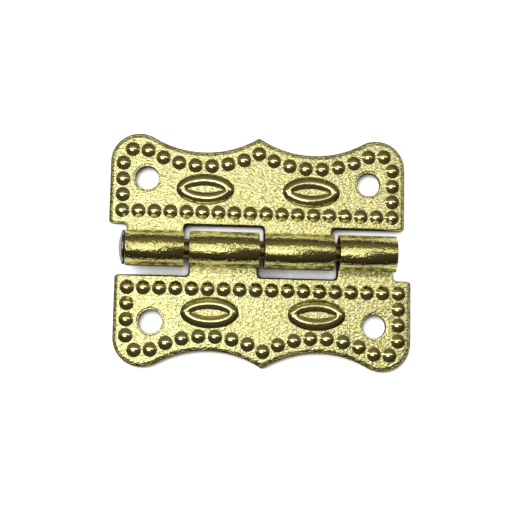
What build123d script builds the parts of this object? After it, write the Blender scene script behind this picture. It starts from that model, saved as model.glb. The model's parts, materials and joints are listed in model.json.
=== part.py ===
"""Decorative hinge: two scalloped, beaded sheet leaves rolled round one headed pin.

The pin lies along X. The backs of the leaves lie in the plane z = 0 and the decorated faces look up.
The origin is the middle of the pin, projected onto the mounting plane.
"""
import os
from math import asin, atan2, cos, degrees, pi, sin, sqrt

from build123d import *

# Sheet and leaf outline, in millimetres; reaches are measured from the pin's axis
SHEET = 1.0
LEAF_WIDTH = 38.0
LEAF_REACH = 14.97
LEAF_SHIFT = 0.45
LOBE_RADIUS = 3.7
SCALLOP_RADIUS = 12.96
SCALLOP_LOW = 12.8
CORNER_RADIUS = 0.45
PEAK_RADIUS = 0.3
EDGE_ROLL = 0.25

# Pin and barrel
PIN_RADIUS = 1.25
PIN_CLEARANCE = 0.05
PIN_PLAY = 0.1
PIN_END_INSET = 0.3
PIN_CHAMFER = 0.25
HEAD_RADIUS = 2.2
HEAD_RIM = 0.3
HEAD_CROWN = 0.45
KNUCKLE_INNER = 8.85
KNUCKLE_GAP = 0.65
KNUCKLE_INSET = 2.275
KNUCKLE_ROLL = 0.2
SLOT_CLEARANCE = 0.95
SLOT_RADIUS = 0.5
SEAM_GAP = 0.15

# Screw holes
HOLE_RADIUS = 1.5
HOLE_SPACING = 28.56
HOLE_REACH = 9.2

# Beads along the border, and the punch marks behind them
BEAD_RADIUS = 0.9
BEAD_HEIGHT = 0.37
BEAD_PITCH = 2.04
BEAD_MARGIN = 1.66
BEAD_CURVE_MARGIN = 1.88
BEAD_SIDES = 10
MARK_RADIUS = 0.6
MARK_DEPTH = 0.4
MARK_SIDES = 6

# Oval motifs: a raised ring round an almond-shaped hollow
OVAL_SPACING = 13.64
OVAL_LENGTH = 7.5
OVAL_BREADTH = 4.15
OVAL_HEIGHT = 0.48
OVAL_SIDES = 24
SHOULDER_DROP = 0.18
SHOULDER_DRAFT = 0.4
CREST_DRAFT = 0.8
OVAL_RIM = 0.22
FLOOR_LENGTH = 4.0
FLOOR_BREADTH = 0.85

# Places that follow from those sizes
bore_radius = PIN_RADIUS + PIN_CLEARANCE
barrel_radius = bore_radius + SHEET
hinge_edge = barrel_radius + SLOT_CLEARANCE
half_width = LEAF_WIDTH / 2
barrel_half = half_width + LEAF_SHIFT - KNUCKLE_INSET
inner_start = KNUCKLE_GAP / 2
inner_end = inner_start + KNUCKLE_INNER
outer_start = inner_end + KNUCKLE_GAP
lobe_x = half_width - LOBE_RADIUS
lobe_y = LEAF_REACH - LOBE_RADIUS
scallop_y = SCALLOP_LOW + SCALLOP_RADIUS
# the scallop and the lobe are tangent, which places the scallop's centre along the leaf
scallop_x = lobe_x - sqrt((SCALLOP_RADIUS + LOBE_RADIUS) ** 2 - (scallop_y - lobe_y) ** 2)
tangent_angle = degrees(atan2(scallop_y - lobe_y, scallop_x - lobe_x))
bead_row = hinge_edge + BEAD_MARGIN
oval_y = (bead_row + SCALLOP_LOW - BEAD_CURVE_MARGIN) / 2
# the upper leaf's two knuckles, as spans along the pin
knuckle_spans = [(-barrel_half, -outer_start), (inner_start, inner_end)]
# the neck of a knuckle passes from plate to curl under the barrel
neck_y = bore_radius
# two points closer than this are the same point
SAME = 1e-6


def half_border(margin):
    """Lobe and scallop arcs of the right half, from side to middle, inside the edge by margin."""
    lobe = CenterArc((lobe_x, lobe_y), LOBE_RADIUS - margin, 0, tangent_angle)
    radius = SCALLOP_RADIUS + margin
    start_angle = tangent_angle - 180
    middle_angle = degrees(atan2(-sqrt(radius**2 - scallop_x**2), -scallop_x))
    scallop = CenterArc((scallop_x, scallop_y), radius, start_angle, middle_angle - start_angle)
    return lobe, scallop


def leaf_outline():
    """Flat outline of the plate: lobes, scallops, peak, and a neck for each knuckle at the hinge edge."""
    lobe, scallop = half_border(0)
    half = [Line((half_width, hinge_edge), lobe @ 0), lobe, scallop]
    hinge_line = Line((-half_width, hinge_edge), (half_width, hinge_edge))
    outline = make_face(half + [mirror(edge, Plane.YZ) for edge in half] + [hinge_line])
    for start, end in knuckle_spans:
        neck = Rectangle(end - start, hinge_edge - neck_y, align=(Align.MIN, Align.MIN))
        outline += Pos(start + LEAF_SHIFT, neck_y) * neck
    peak = outline.vertices().sort_by(Axis.Y)[-1:]
    outline = fillet(peak, PEAK_RADIUS)
    edge_corners = outline.vertices().filter_by_position(Axis.Y, hinge_edge - SAME, hinge_edge + SAME)
    slot_corners = edge_corners.sort_by(Axis.X)[1:-1]
    outline = fillet(slot_corners, SLOT_RADIUS)
    edge_corners = outline.vertices().filter_by_position(Axis.Y, hinge_edge - SAME, hinge_edge + SAME)
    leaf_corners = edge_corners.sort_by(Axis.X)
    return fillet([leaf_corners[0], leaf_corners[-1]], CORNER_RADIUS)


def bead_centres():
    """Bead centres of one leaf: a row at the hinge edge, two columns, a chain round lobes and scallops."""
    column_x = half_width - BEAD_MARGIN
    row_steps = round(2 * column_x / BEAD_PITCH)
    row = [(2 * column_x * i / row_steps - column_x, bead_row) for i in range(row_steps + 1)]
    column_steps = int((lobe_y - bead_row) / BEAD_PITCH)
    right = [(column_x, bead_row + BEAD_PITCH * (i + 1)) for i in range(column_steps)]
    lobe, scallop = half_border(BEAD_CURVE_MARGIN)
    chain = Wire([Line((column_x, bead_row + BEAD_PITCH * column_steps), lobe @ 0), lobe, scallop])
    chain_steps = round(chain.length / BEAD_PITCH)
    points = [chain @ (i / chain_steps) for i in range(1, chain_steps)]
    right += [(point.X, point.Y) for point in points]
    middle = chain @ 1
    return row + right + [(-x, y) for x, y in right] + [(middle.X, middle.Y)]


def ring(half_length, half_breadth, height, sides):
    """Corners of a circle or ellipse drawn with a few sides, at a height."""
    turns = [2 * pi * i / sides for i in range(sides)]
    return [(half_length * cos(turn), half_breadth * sin(turn), height) for turn in turns]


def almond(length, breadth, height, sides):
    """Corners of a pointed oval of two arcs, drawn with a few sides, at a height."""
    arc = ThreePointArc((-length / 2, 0), (0, breadth / 2), (length / 2, 0))
    points = [arc @ (2 * i / sides) for i in range(sides // 2 + 1)]
    return [(point.X, side * point.Y, height) for point in points for side in (-1, 1)]


def bead():
    """One bead on z = 0: a spherical cap, cut to a few flats so that the long rows stay light."""
    sphere = (BEAD_RADIUS**2 + BEAD_HEIGHT**2) / (2 * BEAD_HEIGHT)
    waist_angle = asin(BEAD_RADIUS / sphere) / 2
    waist_radius = sphere * sin(waist_angle)
    waist_height = BEAD_HEIGHT - sphere * (1 - cos(waist_angle))
    foot = ring(BEAD_RADIUS, BEAD_RADIUS, 0, BEAD_SIDES)
    waist = ring(waist_radius, waist_radius, waist_height, BEAD_SIDES)
    return ConvexPolyhedron(foot + waist + [(0, 0, BEAD_HEIGHT)])


def punch_mark():
    """The pointed pit that the punch leaves behind a bead, up from z = 0."""
    return ConvexPolyhedron(ring(MARK_RADIUS, MARK_RADIUS, 0, MARK_SIDES) + [(0, 0, MARK_DEPTH)])


def oval_motif():
    """One raised oval on z = 0, with an almond hollow down to that plane."""
    shoulder_height = OVAL_HEIGHT - SHOULDER_DROP
    corners = []
    for draft, height in [(0, 0), (SHOULDER_DRAFT, shoulder_height), (CREST_DRAFT, OVAL_HEIGHT)]:
        corners += ring(OVAL_LENGTH / 2 - draft, OVAL_BREADTH / 2 - draft, height, OVAL_SIDES)
    inset = 2 * (CREST_DRAFT + OVAL_RIM)
    mouth = almond(OVAL_LENGTH - inset, OVAL_BREADTH - inset, OVAL_HEIGHT, OVAL_SIDES)
    hollow = ConvexPolyhedron(mouth + almond(FLOOR_LENGTH, FLOOR_BREADTH, 0, OVAL_SIDES))
    return ConvexPolyhedron(corners) - hollow


def plate():
    """One leaf's flat part about its own middle: rolled edges, screw holes, beads and ovals."""
    body = extrude(leaf_outline(), SHEET)
    for side in (-1, 1):
        hole = Cylinder(HOLE_RADIUS, SHEET, align=(Align.CENTER, Align.CENTER, Align.MIN))
        body -= Pos(side * HOLE_SPACING / 2, HOLE_REACH) * hole
    front_edges = body.faces().sort_by(Axis.Z)[-1].edges()
    rolled_edges = [edge for edge in front_edges if edge.center().Y > neck_y + SAME]
    body = chamfer(rolled_edges, EDGE_ROLL)
    centres = bead_centres()
    one_bead = bead()
    one_mark = punch_mark()
    one_oval = oval_motif()
    body += [Pos(x, y, SHEET) * one_bead for x, y in centres]
    body += [Pos(side * OVAL_SPACING / 2, oval_y, SHEET) * one_oval for side in (-1, 1)]
    return body - [Pos(x, y) * one_mark for x, y in centres]


def knuckle(start, end):
    """Sheet curled round the pin, from its neck under the barrel to a free end just above the plate."""
    axis = (0, barrel_radius)
    end_angle = degrees(asin((SHEET + SEAM_GAP - barrel_radius) / barrel_radius))
    sweep = end_angle + 90 - 360
    outside = CenterArc(axis, barrel_radius, -90, sweep)
    inside = CenterArc(axis, bore_radius, -90, sweep)
    neck = [
        Line(outside @ 0, (neck_y, 0)),
        Line((neck_y, 0), (neck_y, SHEET)),
        Line((neck_y, SHEET), inside @ 0),
    ]
    section = make_face([outside, inside, Line(outside @ 1, inside @ 1)] + neck)
    curl = extrude(Plane.YZ.offset(start) * section, end - start)
    arcs = curl.edges().filter_by(GeomType.CIRCLE)
    end_arcs = [arc for arc in arcs if arc.radius > bore_radius + SAME]
    return chamfer(end_arcs, KNUCKLE_ROLL)


def leaf():
    """One leaf: a plate and its two knuckles, rolled from the same sheet."""
    return Pos(-LEAF_SHIFT, 0) * plate() + [knuckle(start, end) for start, end in knuckle_spans]


def pin():
    """The headed pin, turned about the barrel's axis."""
    seat = -barrel_half - PIN_PLAY
    tail = barrel_half - PIN_END_INSET
    crown = seat - HEAD_RIM - HEAD_CROWN
    rim = (seat - HEAD_RIM, HEAD_RADIUS)
    # the dome's arc meets the axis squarely, so its centre lies on the axis
    dome_radius = (HEAD_RADIUS**2 + HEAD_CROWN**2) / (2 * HEAD_CROWN)
    dome_middle = asin(HEAD_RADIUS / dome_radius) / 2
    on_dome = (crown + dome_radius * (1 - cos(dome_middle)), dome_radius * sin(dome_middle))
    dome = ThreePointArc((crown, 0), on_dome, rim)
    sides = Polyline(
        rim,
        (seat, HEAD_RADIUS),
        (seat, PIN_RADIUS),
        (tail - PIN_CHAMFER, PIN_RADIUS),
        (tail, PIN_RADIUS - PIN_CHAMFER),
        (tail, 0),
        (crown, 0),
    )
    return Pos(0, 0, barrel_radius) * revolve(make_face([dome, sides]), Axis.X)


upper_leaf = leaf()
nodes = {
    "upper_leaf": upper_leaf,
    "lower_leaf": Rot(0, 0, 180) * upper_leaf,
    "hinge_pin": pin(),
}
os.makedirs("parts", exist_ok=True)
for name, solid in nodes.items():
    export_step(solid, f"parts/{name}.step")
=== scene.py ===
# %% [markdown]
# A decorative hinge in brass-plated sheet
#
# This lesson dresses a small stamped hinge: two scalloped leaves with a beaded border, rolled round one
# steel pin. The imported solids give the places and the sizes. Here each sheet is drawn again with smooth
# beads, rolled edges and a plated finish, because the solids draw their relief with a few flats only.

# %% Load the frame
import json
from math import asin, atan2, cos, degrees, pi, radians, sin, sqrt, tan

import bmesh
import bpy
from mathutils import Matrix, Vector


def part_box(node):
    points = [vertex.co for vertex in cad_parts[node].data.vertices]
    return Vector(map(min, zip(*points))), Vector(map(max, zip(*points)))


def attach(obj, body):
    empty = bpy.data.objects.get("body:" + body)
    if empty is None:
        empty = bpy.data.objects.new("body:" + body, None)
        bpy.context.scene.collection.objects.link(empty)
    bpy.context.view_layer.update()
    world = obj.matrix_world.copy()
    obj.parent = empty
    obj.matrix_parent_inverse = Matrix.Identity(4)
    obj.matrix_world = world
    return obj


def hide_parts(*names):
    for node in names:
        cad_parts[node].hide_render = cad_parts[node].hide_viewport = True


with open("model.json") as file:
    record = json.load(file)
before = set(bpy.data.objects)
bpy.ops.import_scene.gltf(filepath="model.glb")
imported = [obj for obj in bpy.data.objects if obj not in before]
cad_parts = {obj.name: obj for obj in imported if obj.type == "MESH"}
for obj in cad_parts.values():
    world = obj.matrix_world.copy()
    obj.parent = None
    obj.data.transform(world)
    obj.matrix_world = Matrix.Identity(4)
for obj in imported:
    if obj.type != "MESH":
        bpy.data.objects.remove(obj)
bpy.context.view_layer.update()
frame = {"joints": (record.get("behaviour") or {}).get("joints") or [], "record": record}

# %% [markdown]
# The sizes of the sheet
#
# The leaves are modelled in millimetres and shrunk to metres at the end, so the numbers read as they
# would on a drawing. The pin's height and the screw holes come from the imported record. The rest are the
# sizes of the sheet itself: its thickness, the round lobes at its outer corners and the two shallow
# scallops that meet in a small peak between them.

# %% Measure the frame and name the sheet's sizes
MM = 0.001
SAME = 1e-4  # two points closer than this, in millimetres, are one point
joint = frame["joints"][0]
mounts = {mount["name"]: mount for mount in frame["record"]["mounts"]}
screws = mounts["upper_leaf_screws"]
axis_height = joint["pos_m"][2] / MM
leaf_shift = screws["pos_m"][0] / MM
hole_reach = screws["pos_m"][1] / MM
hole_radius = screws["dims"]["hole_r_mm"]
hole_spacing = screws["dims"]["spacing_x_mm"]
leaf_low, leaf_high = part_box("upper_leaf")
leaf_reach = leaf_high.y / MM
half_width = (leaf_high.x - leaf_low.x) / MM / 2

SHEET = 1.0
LOBE_RADIUS = 3.7
SCALLOP_RADIUS = 12.96
SCALLOP_LOW = 12.8
HINGE_EDGE = 3.25
print(f"pin axis {axis_height:.2f} mm up, leaf {2 * half_width:.2f} mm wide, reach {leaf_reach:.2f} mm")

# %% [markdown]
# The outline of a leaf
#
# A press cuts the blank from a strip. Its outline could be typed in point by point, but a round stretch
# is better drawn as a round stretch: one vertex is extruded along a straight side, and spun about the
# centre of a corner, a lobe, a scallop or the peak. Mirror gives the other half. Two tongues on the hinge
# side are left for the knuckles. The outline takes a margin, so that the same drawing gives every loop of
# the rounded rim. On the hinge side that margin counts for less, because the rim is tighter there.

# %% Helpers that draw with one vertex
UPWARD = (0, 0, 1)


def line_to(shape, vert, x, y, z):
    """Pull an edge out of a vertex, to a point."""
    end = bmesh.ops.extrude_vert_indiv(shape, verts=[vert])["verts"][0]
    end.co = (x, y, z)
    return end


def arc_to(shape, vert, centre, axis, angle, steps):
    """Spin a vertex about a centre, which leaves a chain of edges behind it."""
    swept = bmesh.ops.spin(shape, geom=[vert], cent=centre, axis=axis, angle=angle, steps=steps)
    return [item for item in swept["geom_last"] if isinstance(item, bmesh.types.BMVert)][0]


# %% Places of lobes, scallops, peak and tongues
CORNER_RADIUS = 0.45
SLOT_RADIUS = 0.5
PEAK_RADIUS = 0.3
KNUCKLE_INNER = 8.85
KNUCKLE_GAP = 0.65
KNUCKLE_INSET = 2.275
lobe_x = half_width - LOBE_RADIUS
lobe_y = leaf_reach - LOBE_RADIUS
scallop_y = SCALLOP_LOW + SCALLOP_RADIUS
# lobe and scallop are tangent, which places the scallop's centre along the leaf
scallop_x = lobe_x - sqrt((SCALLOP_RADIUS + LOBE_RADIUS) ** 2 - (scallop_y - lobe_y) ** 2)
lobe_sweep = atan2(scallop_y - lobe_y, scallop_x - lobe_x)
inner_start = KNUCKLE_GAP / 2
inner_end = inner_start + KNUCKLE_INNER
outer_start = inner_end + KNUCKLE_GAP
# the outline is drawn about the leaf's own middle, which lies beside the pin's middle
tongues = [
    (KNUCKLE_INSET - half_width, -outer_start - leaf_shift),
    (inner_start - leaf_shift, inner_end - leaf_shift),
]


def scallop_to(radius, tip_radius):
    """Centre height of the peak's tip on a scallop arc, and the angle where the arc meets that tip."""
    drop = sqrt((radius + tip_radius) ** 2 - scallop_x**2)
    return scallop_y - drop, atan2(-drop, -scallop_x)


print(f"scallop centre {scallop_x:.2f}, {scallop_y:.2f} mm, lobe sweeps {degrees(lobe_sweep):.1f} degrees")

# %% Draw one loop of the outline
CORNER_STEPS = 6
LOBE_STEPS = 28
SCALLOP_STEPS = 40
PEAK_STEPS = 3
HINGE_SHARE = 0.35


def draw_outline(sheet, margin, height):
    """Draw a leaf's closed outline inside its edge by a margin, at a height, and return its edges."""
    before = set(sheet.verts)
    hinge_margin = HINGE_SHARE * margin
    corner_x = half_width - margin - CORNER_RADIUS
    edge_y = HINGE_EDGE + hinge_margin
    slot_y = edge_y - SLOT_RADIUS
    radius = SCALLOP_RADIUS + margin
    peak_y, peak_angle = scallop_to(radius, PEAK_RADIUS)
    first = bmesh.ops.create_vert(sheet, co=(corner_x, edge_y, height))["vert"][0]
    pen = arc_to(sheet, first, (corner_x, edge_y + CORNER_RADIUS, height), UPWARD, pi / 2, CORNER_STEPS)
    pen = line_to(sheet, pen, half_width - margin, lobe_y, height)
    pen = arc_to(sheet, pen, (lobe_x, lobe_y, height), UPWARD, lobe_sweep, LOBE_STEPS)
    turn = peak_angle - (lobe_sweep - pi)
    pen = arc_to(sheet, pen, (scallop_x, scallop_y, height), UPWARD, turn, SCALLOP_STEPS)
    arc_to(sheet, pen, (0, peak_y, height), UPWARD, -pi / 2 - peak_angle, PEAK_STEPS)
    half = list(set(sheet.verts) - before)
    edges = list({edge for vert in half for edge in vert.link_edges})
    bmesh.ops.mirror(sheet, geom=half + edges, axis="X", merge_dist=SAME)
    pen = min(set(sheet.verts) - before, key=lambda vert: (round(vert.co.y, 3), vert.co.x))
    for start, end in tongues:
        left, right = start + hinge_margin, end - hinge_margin
        pen = line_to(sheet, pen, left - SLOT_RADIUS, edge_y, height)
        pen = arc_to(sheet, pen, (left - SLOT_RADIUS, slot_y, height), UPWARD, -pi / 2, CORNER_STEPS)
        pen = line_to(sheet, pen, left, 0, height)
        pen = line_to(sheet, pen, right, 0, height)
        pen = line_to(sheet, pen, right, slot_y, height)
        pen = arc_to(sheet, pen, (right + SLOT_RADIUS, slot_y, height), UPWARD, -pi / 2, CORNER_STEPS)
    line_to(sheet, pen, corner_x, edge_y, height)
    drawn = list(set(sheet.verts) - before)
    bmesh.ops.remove_doubles(sheet, verts=drawn, dist=SAME)
    return list({edge for vert in drawn if vert.is_valid for edge in vert.link_edges})


# %% [markdown]
# The rim of the sheet
#
# Stamping pulls the front edge down into a soft shoulder, while the back keeps a small break. Bevel would
# give a round edge, but not one that eases over into a slope. So the rim is a stack of outlines: each loop
# has its own margin and height, and bridging the loops makes the surface. Going up the rim, an arc at the
# back leads to the wall, a small arc to the slope, and a large arc from the slope to the flat front.

# %% Work out the rim's section
SHOULDER_TILT = radians(38)
SHOULDER_SLOPE = 0.25
SHOULDER_ARC = 0.66
SHOULDER_STEPS = 6
EDGE_ARC = 0.06
BACK_BREAK = 0.15
BREAK_STEPS = 3


def arc_rise(radius, start, end, steps):
    """Margins and heights gained along a rim arc, as its tilt goes from start to end."""
    tilts = [start + (end - start) * i / steps for i in range(1, steps + 1)]
    return [(radius * (sin(start) - sin(tilt)), radius * (cos(tilt) - cos(start))) for tilt in tilts]


back_arc = [(margin, -height) for margin, height in arc_rise(BACK_BREAK, pi / 2, 0, BREAK_STEPS)]
edge_arc = arc_rise(EDGE_ARC, pi / 2, SHOULDER_TILT, BREAK_STEPS)
shoulder_arc = arc_rise(SHOULDER_ARC, SHOULDER_TILT, 0, SHOULDER_STEPS)
slope_rise = SHOULDER_SLOPE * tan(SHOULDER_TILT)
wall_top = SHEET - edge_arc[-1][1] - slope_rise - shoulder_arc[-1][1]
rim = [(margin, BACK_BREAK + height) for margin, height in reversed(back_arc)]
rim += [(0, BACK_BREAK), (0, wall_top)]
rim += [(margin, wall_top + height) for margin, height in edge_arc]
slope_end = (rim[-1][0] + SHOULDER_SLOPE, rim[-1][1] + slope_rise)
rim.append(slope_end)
rim += [(slope_end[0] + margin, slope_end[1] + height) for margin, height in shoulder_arc]
print(f"front flat starts {rim[-1][0]:.2f} mm inside the edge, wall is {wall_top:.2f} mm high")

# %% Stack and bridge the loops
sheet = bmesh.new()
rim_loops = [draw_outline(sheet, margin, height) for margin, height in rim]
for lower, upper in zip(rim_loops, rim_loops[1:]):
    bmesh.ops.bridge_loops(sheet, edges=lower + upper)
print(f"rim of {len(rim)} loops with {len(rim_loops[0])} edges each")

# %% [markdown]
# The knuckles
#
# Each tongue is rolled round the pin, almost a full turn, until its end rests just above the plate. Spin
# does the rolling: it carries the tongue's end faces about the pin's axis and leaves the curled sheet
# behind them. The faces are given together with their edges and vertices, so that no wall stays inside.

# %% Roll the tongues
SEAM_GAP = 0.15
CURL_STEPS = 60
seam_angle = asin((SHEET + SEAM_GAP - axis_height) / axis_height)
curl_sweep = seam_angle + pi / 2 - 2 * pi
tongue_ends = [face for face in sheet.faces if all(abs(vert.co.y) < SAME for vert in face.verts)]
rolled = set(tongue_ends)
for face in tongue_ends:
    rolled.update(face.edges)
    rolled.update(face.verts)
bmesh.ops.spin(
    sheet, geom=list(rolled), cent=(0, 0, axis_height), axis=(1, 0, 0), angle=curl_sweep, steps=CURL_STEPS,
)
bmesh.ops.recalc_face_normals(sheet, faces=sheet.faces)
print(f"tongues rolled through {-degrees(curl_sweep):.0f} degrees, {len(sheet.faces)} faces now")

# %% [markdown]
# Where the beads stand
#
# Round beads run along the hinge side, up the two sides and round the lobes and scallops, a little inside
# the edge. The chain round the curves is divided into even steps along its length, so each place is found
# from a distance along a straight stretch, the lobe's arc and the scallop's arc.

# %% Measure the chain of beads
BEAD_PITCH = 2.04
BEAD_MARGIN = 1.66
BEAD_CURVE_MARGIN = 1.88
column_x = half_width - BEAD_MARGIN
bead_row = HINGE_EDGE + BEAD_MARGIN
column_steps = int((lobe_y - bead_row) / BEAD_PITCH)
column_top = bead_row + BEAD_PITCH * column_steps
lobe_chain = LOBE_RADIUS - BEAD_CURVE_MARGIN
scallop_chain = SCALLOP_RADIUS + BEAD_CURVE_MARGIN
run_up = lobe_y - column_top
run_lobe = lobe_chain * lobe_sweep
run_scallop = -scallop_chain * (scallop_to(scallop_chain, 0)[1] - (lobe_sweep - pi))
chain_length = run_up + run_lobe + run_scallop
print(f"chain of {chain_length:.2f} mm from the side's top bead to the peak")


# %% Find the bead places
def chain_point(distance):
    """Place on the right half of the chain, at a distance from the top of the column."""
    if distance < run_up:
        return column_x, column_top + distance
    if distance < run_up + run_lobe:
        turn = (distance - run_up) / lobe_chain
        return lobe_x + lobe_chain * cos(turn), lobe_y + lobe_chain * sin(turn)
    turn = lobe_sweep - pi - (distance - run_up - run_lobe) / scallop_chain
    return scallop_x + scallop_chain * cos(turn), scallop_y + scallop_chain * sin(turn)


row_steps = round(2 * column_x / BEAD_PITCH)
row = [(2 * column_x * i / row_steps - column_x, bead_row) for i in range(row_steps + 1)]
right_side = [(column_x, bead_row + BEAD_PITCH * (i + 1)) for i in range(column_steps)]
chain_steps = round(chain_length / BEAD_PITCH)
right_side += [chain_point(chain_length * i / chain_steps) for i in range(1, chain_steps)]
bead_places = row + right_side + [(-x, y) for x, y in right_side] + [chain_point(chain_length)]
print(f"{len(bead_places)} beads on a leaf")

# %% [markdown]
# One bead, and the pit behind it
#
# A bead is pressed up by a round punch: a straight flank with a tight foot and a round crown on the front,
# and a small pit behind. Each could start from a sphere cut in two, but a spun section gives full control of
# the flank, which sets how dark a bead looks from above. The section is drawn with one vertex, spun a full
# turn, and copied to every place.

# %% Helpers for spun shapes and copies
def spin_section(sheet, verts, steps):
    """Spin a section in the XZ plane a full turn about the Z axis and return the new vertices."""
    before = set(sheet.verts)
    section = set(verts)
    edges = [edge for edge in sheet.edges if edge.verts[0] in section and edge.verts[1] in section]
    bmesh.ops.spin(
        sheet, geom=list(section) + edges, cent=(0, 0, 0), axis=UPWARD, angle=2 * pi, steps=steps,
        use_merge=True,
    )
    spun = section | (set(sheet.verts) - before)
    bmesh.ops.remove_doubles(sheet, verts=list(spun), dist=SAME)
    return [vert for vert in spun if vert.is_valid]


def soften(shape, edges, radius, segments):
    """Bevel edges to a round."""
    bmesh.ops.bevel(
        shape, geom=edges, offset=radius, offset_type="OFFSET", segments=segments, profile=0.5,
        affect="EDGES", material=-1,
    )


def copy_to(sheet, verts, places):
    """Move a shape to the first place and copies of it to the others."""
    edges = {edge for vert in verts for edge in vert.link_edges}
    faces = {face for vert in verts for face in vert.link_faces}
    shape = list(verts) + list(edges) + list(faces)
    for x, y in places[1:]:
        copied = bmesh.ops.duplicate(sheet, geom=shape)["geom"]
        copied_verts = [item for item in copied if isinstance(item, bmesh.types.BMVert)]
        bmesh.ops.translate(sheet, vec=(x, y, 0), verts=copied_verts)
    bmesh.ops.translate(sheet, vec=(*places[0], 0), verts=list(verts))


# %% Press the beads
BEAD_RADIUS = 0.94
BEAD_TILT = radians(32)
CROWN_RADIUS = 1.0
BEAD_FOOT = 0.02
BEAD_FLAT = 0.002
BEAD_STEPS = 32
CROWN_STEPS = 8
FOOT_SEGMENTS = 3
ACROSS = (0, 1, 0)
crown_half = CROWN_RADIUS * sin(BEAD_TILT)
flank_top = SHEET + (BEAD_RADIUS - crown_half) * tan(BEAD_TILT)
before = set(sheet.verts)
skirt = bmesh.ops.create_vert(sheet, co=(BEAD_RADIUS + BEAD_FOOT + BEAD_FLAT, 0, SHEET))["vert"][0]
pen = line_to(sheet, skirt, BEAD_RADIUS, 0, SHEET)
pen = line_to(sheet, pen, crown_half, 0, flank_top)
crown_centre = (0, 0, flank_top - CROWN_RADIUS * cos(BEAD_TILT))
arc_to(sheet, pen, crown_centre, ACROSS, -BEAD_TILT, CROWN_STEPS)
bead = spin_section(sheet, set(sheet.verts) - before, BEAD_STEPS)
foot_ring = [
    edge for edge in {edge for vert in bead for edge in vert.link_edges}
    if all(abs(vert.co.xy.length - BEAD_RADIUS) < SAME for vert in edge.verts)
]
soften(sheet, foot_ring, BEAD_FOOT, FOOT_SEGMENTS)
bead = [vert for vert in sheet.verts if vert not in before]
copy_to(sheet, bead, bead_places)
print(f"beads {crown_centre[2] + CROWN_RADIUS - SHEET:.2f} mm high, {len(sheet.faces)} faces now")

# %% Press the pits behind them
PIT_RADIUS = 0.6
PIT_DEPTH = 0.4
PIT_STEPS = 20
PIT_ARC_STEPS = 4
pit_ball = (PIT_RADIUS**2 + PIT_DEPTH**2) / (2 * PIT_DEPTH)
before = set(sheet.verts)
pen = bmesh.ops.create_vert(sheet, co=(PIT_RADIUS, 0, 0))["vert"][0]
arc_to(sheet, pen, (0, 0, PIT_DEPTH - pit_ball), ACROSS, -asin(PIT_RADIUS / pit_ball), PIT_ARC_STEPS)
copy_to(sheet, spin_section(sheet, set(sheet.verts) - before, PIT_STEPS), bead_places)
print(f"pits pressed, {len(sheet.faces)} faces now")

# %% [markdown]
# The oval motifs
#
# Two ovals stand on each leaf: a raised ring round an almond-shaped hollow with a level floor. The ring
# changes from a plain ellipse at its foot to a pointed almond at its floor. A stack of loops, each a
# squeezed circle, holds that change, and bridging neighbouring loops gives the surface. Multiplying a unit
# circle's y by its own size turns the circle into an almond of two parabolas, which is all the pinch
# needs. The floors stay open here and are closed together with the field.

# %% One loop of an oval
OVAL_STEPS = 72


def oval_loop(sheet, length, breadth, pinch, height):
    """Draw a loop: an ellipse at pinch 0, a pointed almond at pinch 1. Return its edges and vertices."""
    verts = bmesh.ops.create_circle(sheet, radius=1, segments=OVAL_STEPS)["verts"]
    for vert in verts:
        vert.co.y *= 1 - pinch + pinch * abs(vert.co.y)
    bmesh.ops.scale(sheet, vec=(length / 2, breadth / 2, 1), verts=verts)
    bmesh.ops.translate(sheet, vec=(0, 0, height), verts=verts)
    return list({edge for vert in verts for edge in vert.link_edges}), verts


# %% Build the ovals from bridged loops
OVAL_SPACING = 13.64
OVAL_LENGTH = 7.5
OVAL_BREADTH = 4.06
OVAL_HEIGHT = 0.48
CREST_INSET = 0.92
FLANK_CURVE = 1.7
FLOOR_LENGTH = 4.4
FLOOR_BREADTH = 0.85
FLOOR_LIFT = 0.14
HOLLOW_CURVE = 1.5
FLANK_LOOPS = 9
HOLLOW_LOOPS = 8
oval_y = (bead_row + SCALLOP_LOW - BEAD_CURVE_MARGIN) / 2
hollow_floor = SHEET + FLOOR_LIFT
loops = []
for i in range(FLANK_LOOPS):
    share = i / (FLANK_LOOPS - 1)
    inset = 2 * CREST_INSET * share
    height = OVAL_HEIGHT * (1 - (1 - share) ** FLANK_CURVE)
    loops.append(oval_loop(sheet, OVAL_LENGTH - inset, OVAL_BREADTH - inset, 0, SHEET + height))
crest_length = OVAL_LENGTH - 2 * CREST_INSET
crest_breadth = OVAL_BREADTH - 2 * CREST_INSET
for i in range(1, HOLLOW_LOOPS + 1):
    share = i / HOLLOW_LOOPS
    length = crest_length + (FLOOR_LENGTH - crest_length) * share
    breadth = crest_breadth + (FLOOR_BREADTH - crest_breadth) * share
    height = OVAL_HEIGHT - (OVAL_HEIGHT - FLOOR_LIFT) * share**HOLLOW_CURVE
    loops.append(oval_loop(sheet, length, breadth, share, SHEET + height))
for (outer, _), (inner, _) in zip(loops, loops[1:]):
    bmesh.ops.bridge_loops(sheet, edges=outer + inner)
oval = [vert for _, verts in loops for vert in verts]
copy_to(sheet, oval, [(-OVAL_SPACING / 2, oval_y), (OVAL_SPACING / 2, oval_y)])
print(f"ovals built from {len(loops)} loops each")

# %% [markdown]
# Screw holes
#
# Two plain holes take the screws. The punch leaves a narrow land round each of them, a touch below the
# field, which shows as a fine ring in the plating. A boolean could cut the holes, but a spun section also
# gives their broken edges and the land: a break at the back, the wall, a rounded edge, the land and a
# small step up to the field.

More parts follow.
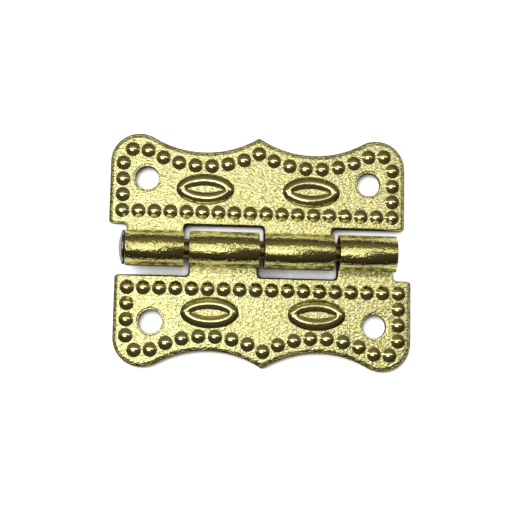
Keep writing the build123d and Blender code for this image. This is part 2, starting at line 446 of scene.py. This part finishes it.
# %% Spin the hole walls
HOLE_BREAK = 0.1
HOLE_ROUND = 0.12
LAND_WIDTH = 0.14
STEP_WIDTH = 0.08
STEP_DROP = 0.07
HOLE_STEPS = 56
ROUND_STEPS = 4
land_level = SHEET - STEP_DROP
land_edge = hole_radius + HOLE_ROUND + LAND_WIDTH
round_level = land_level - HOLE_ROUND
before = set(sheet.verts)
pen = bmesh.ops.create_vert(sheet, co=(hole_radius + HOLE_BREAK, 0, 0))["vert"][0]
pen = line_to(sheet, pen, hole_radius, 0, HOLE_BREAK)
pen = line_to(sheet, pen, hole_radius, 0, round_level)
pen = arc_to(sheet, pen, (hole_radius + HOLE_ROUND, 0, round_level), ACROSS, pi / 2, ROUND_STEPS)
pen = line_to(sheet, pen, land_edge, 0, land_level)
line_to(sheet, pen, land_edge + STEP_WIDTH, 0, SHEET)
hole = spin_section(sheet, set(sheet.verts) - before, HOLE_STEPS)
copy_to(sheet, hole, [(-hole_spacing / 2, hole_reach), (hole_spacing / 2, hole_reach)])
print(f"holes of {2 * hole_radius:.1f} mm, {hole_spacing:.2f} mm apart")

# %% [markdown]
# Closing the sheet
#
# The flat field between outline, beads, ovals and holes has dozens of openings in it. Triangle fill closes
# such a field in one step from its open edges, and so it does the hollows' floors and the back. These flats
# are shaded flat and all the rest smooth, so a flat stays flat right up to the foot of each bead.

# %% Fill the front, the hollows and the back
def fill_level(sheet, height, normal):
    """Close the flat between all open edges at a height and return its faces."""
    open_edges = [
        edge for edge in sheet.edges
        if edge.is_boundary and all(abs(vert.co.z - height) < SAME for vert in edge.verts)
    ]
    filled = bmesh.ops.triangle_fill(sheet, use_beauty=True, edges=open_edges, normal=normal)["geom"]
    return [item for item in filled if isinstance(item, bmesh.types.BMFace)]


for face in sheet.faces:
    face.smooth = True
for height, normal in [(SHEET, UPWARD), (hollow_floor, UPWARD), (0, (0, 0, -1))]:
    for face in fill_level(sheet, height, normal):
        face.smooth = False
bmesh.ops.remove_doubles(sheet, verts=sheet.verts, dist=SAME)
bmesh.ops.recalc_face_normals(sheet, faces=sheet.faces)
open_count = sum(1 for edge in sheet.edges if not edge.is_manifold)
leaf_volume = sheet.calc_volume()
print(f"leaf of {len(sheet.faces)} faces, {open_count} open edges, {leaf_volume:.0f} cubic mm")

# %% [markdown]
# Two leaves from one sheet
#
# The real hinge uses one press tool twice: the second leaf is the first one turned half a turn about the
# middle of the pin. It could be modelled again, or linked as a turned object. Here the finished sheet is
# moved beside the pin's middle, stored as the upper leaf, turned, and stored again as the lower leaf. The
# turn is in the mesh, so both objects stay at the origin.

# %% Store the leaves
def store(shape, name):
    """Store a copy of a shape in metres as an object at the origin."""
    mesh = bpy.data.meshes.new(name)
    copied = shape.copy()
    bmesh.ops.scale(copied, vec=(MM, MM, MM), verts=copied.verts)
    copied.to_mesh(mesh)
    copied.free()
    piece = bpy.data.objects.new(name, mesh)
    bpy.context.scene.collection.objects.link(piece)
    return piece


bmesh.ops.translate(sheet, vec=(leaf_shift, 0, 0), verts=sheet.verts)
upper_leaf = store(sheet, "upper_leaf_sheet")
bmesh.ops.rotate(sheet, cent=(0, 0, 0), matrix=Matrix.Rotation(pi, 3, "Z"), verts=sheet.verts)
lower_leaf = store(sheet, "lower_leaf_sheet")
sheet.free()
print("stored", upper_leaf.name, "and", lower_leaf.name)

# %% [markdown]
# The pin
#
# A headed steel pin holds the knuckles together. Cylinders and a squashed sphere would give its rough
# form, but the real one is turned and upset, so it is a spun shape: a low dome, a rounded rim, the shank
# and a chamfered tail. The section is drawn from the crown to the tail and spun about the pin's axis.

# %% Draw the pin's section
PIN_RADIUS = 1.25
PIN_CHAMFER = 0.25
HEAD_RADIUS = 2.2
HEAD_RIM = 0.3
HEAD_CROWN = 0.45
HEAD_STEPS = 10
pin_low, pin_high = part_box("hinge_pin")
crown = pin_low.x / MM
tail = pin_high.x / MM
seat = crown + HEAD_CROWN + HEAD_RIM
head_ball = (HEAD_RADIUS**2 + HEAD_CROWN**2) / (2 * HEAD_CROWN)
turned = bmesh.new()
pen = bmesh.ops.create_vert(turned, co=(crown, 0, 0))["vert"][0]
pen = arc_to(turned, pen, (crown + head_ball, 0, 0), ACROSS, asin(HEAD_RADIUS / head_ball), HEAD_STEPS)
section = [
    (seat, HEAD_RADIUS),
    (seat, PIN_RADIUS),
    (tail - PIN_CHAMFER, PIN_RADIUS),
    (tail, PIN_RADIUS - PIN_CHAMFER),
    (tail, 0),
]
for x, radius in section:
    pen = line_to(turned, pen, x, 0, radius)
print(f"pin from {crown:.2f} to {tail:.2f} mm, head seats at {seat:.2f} mm")

# %% Turn the pin
PIN_STEPS = 64
SHARP = radians(40)
HEAD_SOFT = 0.12
SOFT_SEGMENTS = 4
bmesh.ops.spin(
    turned, geom=turned.verts[:] + turned.edges[:], cent=(0, 0, 0), axis=(1, 0, 0), angle=2 * pi,
    steps=PIN_STEPS, use_merge=True,
)
bmesh.ops.remove_doubles(turned, verts=turned.verts, dist=SAME)
bmesh.ops.recalc_face_normals(turned, faces=turned.faces)
rims = [edge for edge in turned.edges if edge.is_manifold and edge.calc_face_angle() > SHARP]
soften(turned, rims, HEAD_SOFT, SOFT_SEGMENTS)
for face in turned.faces:
    face.smooth = True
bmesh.ops.translate(turned, vec=(0, 0, axis_height), verts=turned.verts)
pin = store(turned, "hinge_pin_turned")
turned.free()
print(f"pin of {len(pin.data.polygons)} faces")

# %% [markdown]
# Helpers for the finishes
#
# A node material can be wired by hand in the editor. In a script each node takes a few lines to make, set
# and link, so a few helpers keep the recipes short enough to read. A socket is fed with a plain value or
# with another node's output, whichever is given.

# %% Make, feed and link nodes
def feed(tree, socket, value):
    """Link a socket to another socket, or set it to a plain number, vector or colour."""
    if isinstance(value, bpy.types.NodeSocket):
        tree.links.new(value, socket)
    else:
        socket.default_value = value


def node(tree, kind, **inputs):
    """Add a shader node and feed the sockets that are given by name."""
    made = tree.nodes.new(kind)
    for name, value in inputs.items():
        feed(tree, made.inputs[name.replace("_", " ")], value)
    return made


def maths(tree, operation, first, second):
    """Reckon with two numbers or sockets and return the new socket."""
    made = tree.nodes.new("ShaderNodeMath")
    made.operation = operation
    for socket, value in zip(made.inputs, [first, second]):
        feed(tree, socket, value)
    return made.outputs[0]


def ease(tree, value, low, high, to_low, to_high):
    """Ease a socket from one range of numbers to another and return the new socket."""
    eased = node(
        tree, "ShaderNodeMapRange", Value=value, From_Min=low, From_Max=high, To_Min=to_low, To_Max=to_high,
    )
    eased.interpolation_type = "SMOOTHSTEP"
    return eased.outputs["Result"]


def mix_colours(tree, share, first, second):
    """Blend two colours, or sockets that give colours, by a share, and return the blended socket."""
    mixed = node(tree, "ShaderNodeMix", Factor=share)
    mixed.data_type = "RGBA"
    colours = [socket for socket in mixed.inputs if socket.type == "RGBA"]
    for socket, colour in zip(colours, [first, second]):
        feed(tree, socket, colour)
    return [socket for socket in mixed.outputs if socket.type == "RGBA"][0]


def axis_of(tree, vector, axis):
    """Take one axis out of a vector socket."""
    return node(tree, "ShaderNodeSeparateXYZ", Vector=vector).outputs[axis]


# %% Start a metal
def new_metal(name):
    """A metal with its output, and with Object coordinates in millimetres."""
    material = bpy.data.materials.new(name)
    material.use_nodes = True
    tree = material.node_tree
    tree.nodes.clear()
    shader = node(tree, "ShaderNodeBsdfPrincipled", Metallic=1.0)
    node(tree, "ShaderNodeOutputMaterial", Surface=shader.outputs["BSDF"])
    place = node(tree, "ShaderNodeTexCoord").outputs["Object"]
    scaled = node(tree, "ShaderNodeMapping", Vector=place, Scale=(1 / MM, 1 / MM, 1 / MM))
    return material, tree, shader, scaled.outputs["Vector"]


# %% [markdown]
# Brass plating
#
# The leaves have a pale, slightly green brass finish, most likely a plating. The stamped field keeps a fine
# grain like orange peel, and its dimples are painted darker as painted shade. The knuckles have a sandy skin
# and are painted darker as well, as painted shade, while beads and ovals are almost mirror smooth. A painted
# mask could say where each finish goes, but the shape already knows: level faces below the bead crowns are
# field, and what stands higher than every bead is a knuckle. Where the sheet rolls over at its rim, its
# sloping shoulder is painted dark brown as painted shade. All patterns read Object coordinates in
# millimetres, so they stay put when a leaf swings.

# %% Tell field, rim and knuckles apart
LEVEL_FADE = (0.93, 0.985)  # upward part of a face's normal, from sloping to level
CROWN_FADE = (hollow_floor + 0.02, hollow_floor + 0.06)
RIM_FADE = (SHEET - 0.03, SHEET - 0.005)
KNUCKLE_FADE = (SHEET + 0.55, SHEET + 1.0)
brass, tree, shader, millimetres = new_metal("lemon_brass_plating")
height = axis_of(tree, millimetres, "Z")
upward = axis_of(tree, node(tree, "ShaderNodeTexCoord").outputs["Normal"], "Z")
level = ease(tree, upward, *LEVEL_FADE, 0.0, 1.0)
below_crowns = ease(tree, height, *CROWN_FADE, 1.0, 0.0)
on_rim = ease(tree, height, *RIM_FADE, 1.0, 0.0)
field = maths(tree, "MAXIMUM", maths(tree, "MULTIPLY", level, below_crowns), on_rim)
on_knuckle = ease(tree, height, *KNUCKLE_FADE, 0.0, 1.0)
print("masks made with", len(tree.nodes), "nodes")

# %% Grain of the field and sand of the knuckles
POLISHED_GRAIN = 0.12
KNUCKLE_GRAIN = 0.08
PEEL_STRETCH = (0.6, 1.0, 1.0)
PEEL_SCALE = 3.8
PEEL_WARP = 0.4
PEEL_DEPTH = 0.11 * MM
SAND_SCALE = 3.4
SAND_DEPTH = 0.055 * MM
GRAIN_DETAIL = 2.0
POLISHED_ROUGHNESS = 0.14
FIELD_ROUGHNESS = 0.25
grain_on_field = ease(tree, field, 0.0, 1.0, POLISHED_GRAIN, 1.0)
grain_on_knuckle = ease(tree, on_knuckle, 0.0, 1.0, 0.0, KNUCKLE_GRAIN)
grain = maths(tree, "ADD", grain_on_field, grain_on_knuckle)
ripple = node(tree, "ShaderNodeMapping", Vector=millimetres, Scale=PEEL_STRETCH).outputs["Vector"]
peel = node(
    tree, "ShaderNodeTexNoise", Vector=ripple, Scale=PEEL_SCALE, Detail=GRAIN_DETAIL, Distortion=PEEL_WARP,
).outputs["Fac"]
peel_bump = node(tree, "ShaderNodeBump", Height=peel, Strength=grain, Distance=PEEL_DEPTH)
sand = node(
    tree, "ShaderNodeTexNoise", Vector=millimetres, Scale=SAND_SCALE, Detail=GRAIN_DETAIL,
).outputs["Fac"]
sand_bump = node(
    tree, "ShaderNodeBump", Height=sand, Strength=on_knuckle, Distance=SAND_DEPTH,
    Normal=peel_bump.outputs["Normal"],
)
feed(tree, shader.inputs["Normal"], sand_bump.outputs["Normal"])
roughness = ease(tree, field, 0.0, 1.0, POLISHED_ROUGHNESS, FIELD_ROUGHNESS)
feed(tree, shader.inputs["Roughness"], roughness)
print(f"grain {PEEL_DEPTH / MM:.2f} mm deep, sand {SAND_DEPTH / MM:.3f} mm deep")

# %% Colour of the brass
BRASS_PALE = (0.88, 0.86, 0.44, 1)
BRASS_DEEP = (0.82, 0.78, 0.34, 1)
# painted shade: a darker brass for the dimples and the knuckles
BRASS_PAINTED_SHADE = (0.46, 0.41, 0.13, 1)
# painted shade: a dark brown for the sloping shoulder of the rim
RIM_PAINTED_SHADE = (0.22, 0.18, 0.06, 1)
TONE_SCALE = 0.35
TONE_DETAIL = 3.0
TONE_ROUGHNESS = 0.55
DIMPLE_SHADE_FADE = (0.5, 0.34)
DIMPLE_SHADE_SHARE = 0.45
KNUCKLE_PAINTED_SHADE = 0.65
RIM_SHADE_FADE = (SHEET - 0.08, SHEET - 0.25)
RIM_SHADE_SHARE = 0.9
WALL_FADE = (0.3, 0.6)
tone = node(
    tree, "ShaderNodeTexNoise", Vector=millimetres, Scale=TONE_SCALE, Detail=TONE_DETAIL,
    Roughness=TONE_ROUGHNESS,
).outputs["Fac"]
colour = mix_colours(tree, tone, BRASS_PALE, BRASS_DEEP)
# the grain's low spots are painted darker: painted shade in the dimples
dimple_shade = maths(tree, "MULTIPLY", ease(tree, peel, *DIMPLE_SHADE_FADE, 0.0, DIMPLE_SHADE_SHARE), grain)
colour = mix_colours(tree, dimple_shade, colour, BRASS_PAINTED_SHADE)
# the knuckles are painted darker: painted shade for the dark room that the barrel mirrors
colour = mix_colours(tree, maths(tree, "MULTIPLY", on_knuckle, KNUCKLE_PAINTED_SHADE), colour, BRASS_PAINTED_SHADE)
# low, sloping faces of the rolled rim are painted dark brown: painted shade
rolled_over = ease(tree, height, *RIM_SHADE_FADE, 0.0, RIM_SHADE_SHARE)
rim_shade = maths(tree, "MULTIPLY", rolled_over, ease(tree, upward, *WALL_FADE, 0.0, 1.0))
colour = mix_colours(tree, rim_shade, colour, RIM_PAINTED_SHADE)
feed(tree, shader.inputs["Base Color"], colour)
for leaf in (upper_leaf, lower_leaf):
    leaf.data.materials.append(brass)
print("brass has", len(tree.nodes), "nodes")

# %% [markdown]
# Pin steel
#
# The pin is plain grey steel with fine turning marks round it. Where it runs inside the knuckles it is
# painted dark brown, as painted shade and painted reflection of the brass around it. Cut rings would take
# thousands of faces, so a noise squeezed along the pin gives the marks, and the distance from the head gives
# the painted brown.

# %% Mix the steel
STEEL_BARE = (0.26, 0.26, 0.26, 1)
# painted shade and painted reflection: the dark brown of the shank inside the knuckles
STEEL_SHADED_BROWN = (0.2, 0.15, 0.06, 1)
PIN_SHADE_FADE = 0.4
MARK_STRETCH = (14.0, 0.3, 0.3)
MARK_DETAIL = 3.0
MARK_STRENGTH = 0.4
MARK_DEPTH = 0.03 * MM
STEEL_ROUGHNESS = (0.18, 0.36)
steel, tree, shader, millimetres = new_metal("turned_pin_steel")
# from the head's seat on, the shank is painted dark brown: painted shade and painted reflection
inside = ease(tree, axis_of(tree, millimetres, "X"), seat, seat + PIN_SHADE_FADE, 0.0, 1.0)
feed(tree, shader.inputs["Base Color"], mix_colours(tree, inside, STEEL_BARE, STEEL_SHADED_BROWN))
along = node(tree, "ShaderNodeMapping", Vector=millimetres, Scale=MARK_STRETCH).outputs["Vector"]
marks = node(tree, "ShaderNodeTexNoise", Vector=along, Scale=1.0, Detail=MARK_DETAIL).outputs["Fac"]
bump = node(tree, "ShaderNodeBump", Height=marks, Strength=MARK_STRENGTH, Distance=MARK_DEPTH)
feed(tree, shader.inputs["Normal"], bump.outputs["Normal"])
feed(tree, shader.inputs["Roughness"], ease(tree, marks, 0.0, 1.0, *STEEL_ROUGHNESS))
pin.data.materials.append(steel)
print("steel has", len(tree.nodes), "nodes")

# %% [markdown]
# Tying the pieces to the frame
#
# Each new piece stands for one solid of the frame and moves with the same body, so the upper leaf and the
# pin swing together and the lower leaf stays.

# %% Ride and replace
for piece, body, solid, finish in [
    (upper_leaf, "swinging_leaf", "upper_leaf", "brass_plate"),
    (lower_leaf, "fixed_leaf", "lower_leaf", "brass_plate"),
    (pin, "swinging_leaf", "hinge_pin", "pin_steel"),
]:
    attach(piece, body)
    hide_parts(solid)
    print(piece.name, "rides on", body)

# %% [markdown]
# Floor
#
# The hinge lies on a plain white table. A white sheet that is only lit by the lamps would come out grey, so
# the floor adds an even glow for rays from the camera and from shiny surfaces. The glow would wash out the
# dark line where metal meets table, so an Ambient Occlusion node with a leaning normal finds the places
# close to the hinge, and there the floor turns dark. A second one with a wider reach does the same for
# what the metal mirrors, since the table beside a knuckle lies in its shade.

# %% Lay the floor
FLOOR_SIZE = 4.0
FLOOR_DROP = 0.02 * MM
floor_mesh = bpy.data.meshes.new("floor")
ground = bmesh.new()
bmesh.ops.create_grid(ground, x_segments=1, y_segments=1, size=FLOOR_SIZE / 2)
bmesh.ops.translate(ground, vec=(0, 0, -FLOOR_DROP), verts=ground.verts)
ground.to_mesh(floor_mesh)
ground.free()
floor = bpy.data.objects.new("floor", floor_mesh)
bpy.context.scene.collection.objects.link(floor)
print(f"floor of {FLOOR_SIZE:.0f} m laid {FLOOR_DROP / MM:.2f} mm under the hinge")

# %% Find the shade under the hinge
LEAN = {"X": -0.45, "Y": 0.6, "Z": 0.66}
CONTACT_REACH = 4 * MM
CONTACT_FADE = (0.25, 0.58)
MIRROR_REACH = 8 * MM
MIRROR_FADE = (0.45, 1.0)
floor_paint = bpy.data.materials.new("white_table")
floor_paint.use_nodes = True
floor_mesh.materials.append(floor_paint)
tree = floor_paint.node_tree
tree.nodes.clear()
path = node(tree, "ShaderNodeLightPath").outputs
lean = node(tree, "ShaderNodeCombineXYZ", **LEAN).outputs["Vector"]
contact = node(tree, "ShaderNodeAmbientOcclusion", Distance=CONTACT_REACH, Normal=lean).outputs["AO"]
around = node(tree, "ShaderNodeAmbientOcclusion", Distance=MIRROR_REACH).outputs["AO"]
seen_share = ease(tree, contact, *CONTACT_FADE, 0.0, 1.0)
mirror_share = ease(tree, around, *MIRROR_FADE, 0.0, 1.0)
open_share = node(tree, "ShaderNodeMix", Factor=path["Is Camera Ray"], A=mirror_share, B=seen_share)
print("shade found with", len(tree.nodes), "nodes")

# %% Paint the floor
FLOOR_GLOW = 0.85
FLOOR_WHITE = (0.9, 0.9, 0.9, 1)
FLOOR_SHADE = (0.07, 0.07, 0.07, 1)
mirrored = maths(tree, "MAXIMUM", path["Is Glossy Ray"], path["Is Transmission Ray"])
seen = maths(tree, "MAXIMUM", path["Is Camera Ray"], mirrored)
glow = node(tree, "ShaderNodeEmission", Strength=maths(tree, "MULTIPLY", seen, FLOOR_GLOW))
white = node(tree, "ShaderNodeBsdfDiffuse", Color=FLOOR_WHITE)
shade = node(tree, "ShaderNodeBsdfDiffuse", Color=FLOOR_SHADE)
bright = node(tree, "ShaderNodeAddShader")
feed(tree, bright.inputs[0], white.outputs["BSDF"])
feed(tree, bright.inputs[1], glow.outputs["Emission"])
surface = node(tree, "ShaderNodeMixShader", Fac=open_share.outputs["Result"])
feed(tree, surface.inputs[1], shade.outputs["BSDF"])
feed(tree, surface.inputs[2], bright.outputs["Shader"])
node(tree, "ShaderNodeOutputMaterial", Surface=surface.outputs["Shader"])
print("floor paint has", len(tree.nodes), "nodes")

# %% [markdown]
# Light
#
# A polished metal shows its surroundings, so the light is a small studio, where a single sun would leave
# the metal black between sharp glints. A long, narrow strip high on the far side lights the level fields
# and draws the bright line along the barrel. A panel on the left, like a window, brightens that side. The
# room is dim and warm, darkest at the horizon and on the near side where the camera stands, and that
# darkness is what the flanks of the beads mirror.

# %% Hang the lamps
STRIP_PLACE = (0, 115, 380)
STRIP_SIZE = (1000, 55)
STRIP_LEVEL = 2.35
WINDOW_PLACE = (-105, -44, 300)
WINDOW_FOOT = (-105, -44, 0)
WINDOW_SIZE = (270, 95)
WINDOW_LEVEL = 2.4
RADIANCE_TO_WATTS = 4.0


def soft_panel(name, place, target, size, radiance):
    """An area lamp of an even radiance that looks at a point; sizes in millimetres."""
    lamp = bpy.data.lights.new(name, "AREA")
    lamp.shape = "RECTANGLE"
    lamp.size = size[0] * MM
    lamp.size_y = size[1] * MM
    lamp.energy = RADIANCE_TO_WATTS * radiance * lamp.size * lamp.size_y
    hung = bpy.data.objects.new(name, lamp)
    hung.location = Vector(place) * MM
    hung.rotation_euler = (Vector(target) - Vector(place)).to_track_quat("-Z", "Y").to_euler()
    bpy.context.scene.collection.objects.link(hung)
    print(f"{name} of {lamp.energy:.2f} W")


soft_panel("overhead_strip", STRIP_PLACE, (0, 0, 0), STRIP_SIZE, STRIP_LEVEL)
soft_panel("left_window", WINDOW_PLACE, WINDOW_FOOT, WINDOW_SIZE, WINDOW_LEVEL)

# %% Paint the room
ROOM_WARM = (1.0, 0.87, 0.6, 1)
HORIZON = 0.06
ZENITH = 0.26
RISE = (0.1, 0.9)
NEAR_SHARE = 0.3
NEAR_FADE = (-0.25, 0.3)
world = bpy.data.worlds.new("dim_room")
bpy.context.scene.world = world
world.use_nodes = True
tree = world.node_tree
tree.nodes.clear()
ray = node(tree, "ShaderNodeTexCoord").outputs["Generated"]
lift = ease(tree, axis_of(tree, ray, "Z"), *RISE, HORIZON, ZENITH)
near_side = ease(tree, axis_of(tree, ray, "Y"), *NEAR_FADE, NEAR_SHARE, 1.0)
strength = maths(tree, "MULTIPLY", lift, near_side)
room = node(tree, "ShaderNodeBackground", Color=ROOM_WARM, Strength=strength)
node(tree, "ShaderNodeOutputWorld", Surface=room.outputs["Background"])
print(f"room from {HORIZON} at the horizon to {ZENITH} overhead")

# %% [markdown]
# Camera
#
# The photograph looks almost straight down from a short distance, a little from the near left, with the
# hinge turned by about one degree in the frame. The focal length follows from the distance and from how
# many millimetres the frame spans at the hinge.

# %% Set the camera
FRAME_SPAN = 67.1
CAMERA_PLACE = (-9.7, -18.0, 150.0)
AIM = (0.24, -1.34, SHEET)
ROLL = radians(1.12)
SENSOR = 36
NEAREST = 5 * MM
FARTHEST = 10
lens = bpy.data.cameras.new("photo_camera")
camera = bpy.data.objects.new("photo_camera", lens)
bpy.context.scene.collection.objects.link(camera)
sight = Vector(AIM) - Vector(CAMERA_PLACE)
rightward = sight.cross(Vector((-sin(ROLL), cos(ROLL), 0))).normalized()
frame_top = rightward.cross(sight).normalized()
turn = Matrix((rightward, frame_top, -sight.normalized())).transposed()
camera.matrix_world = Matrix.Translation(Vector(CAMERA_PLACE) * MM) @ turn.to_4x4()
lens.sensor_width = SENSOR
lens.lens = SENSOR * sight.length / FRAME_SPAN
lens.clip_start = NEAREST
lens.clip_end = FARTHEST
bpy.context.scene.camera = camera
bpy.context.scene.view_settings.view_transform = "Standard"
print(f"focal length {lens.lens:.1f} mm at {sight.length:.0f} mm")
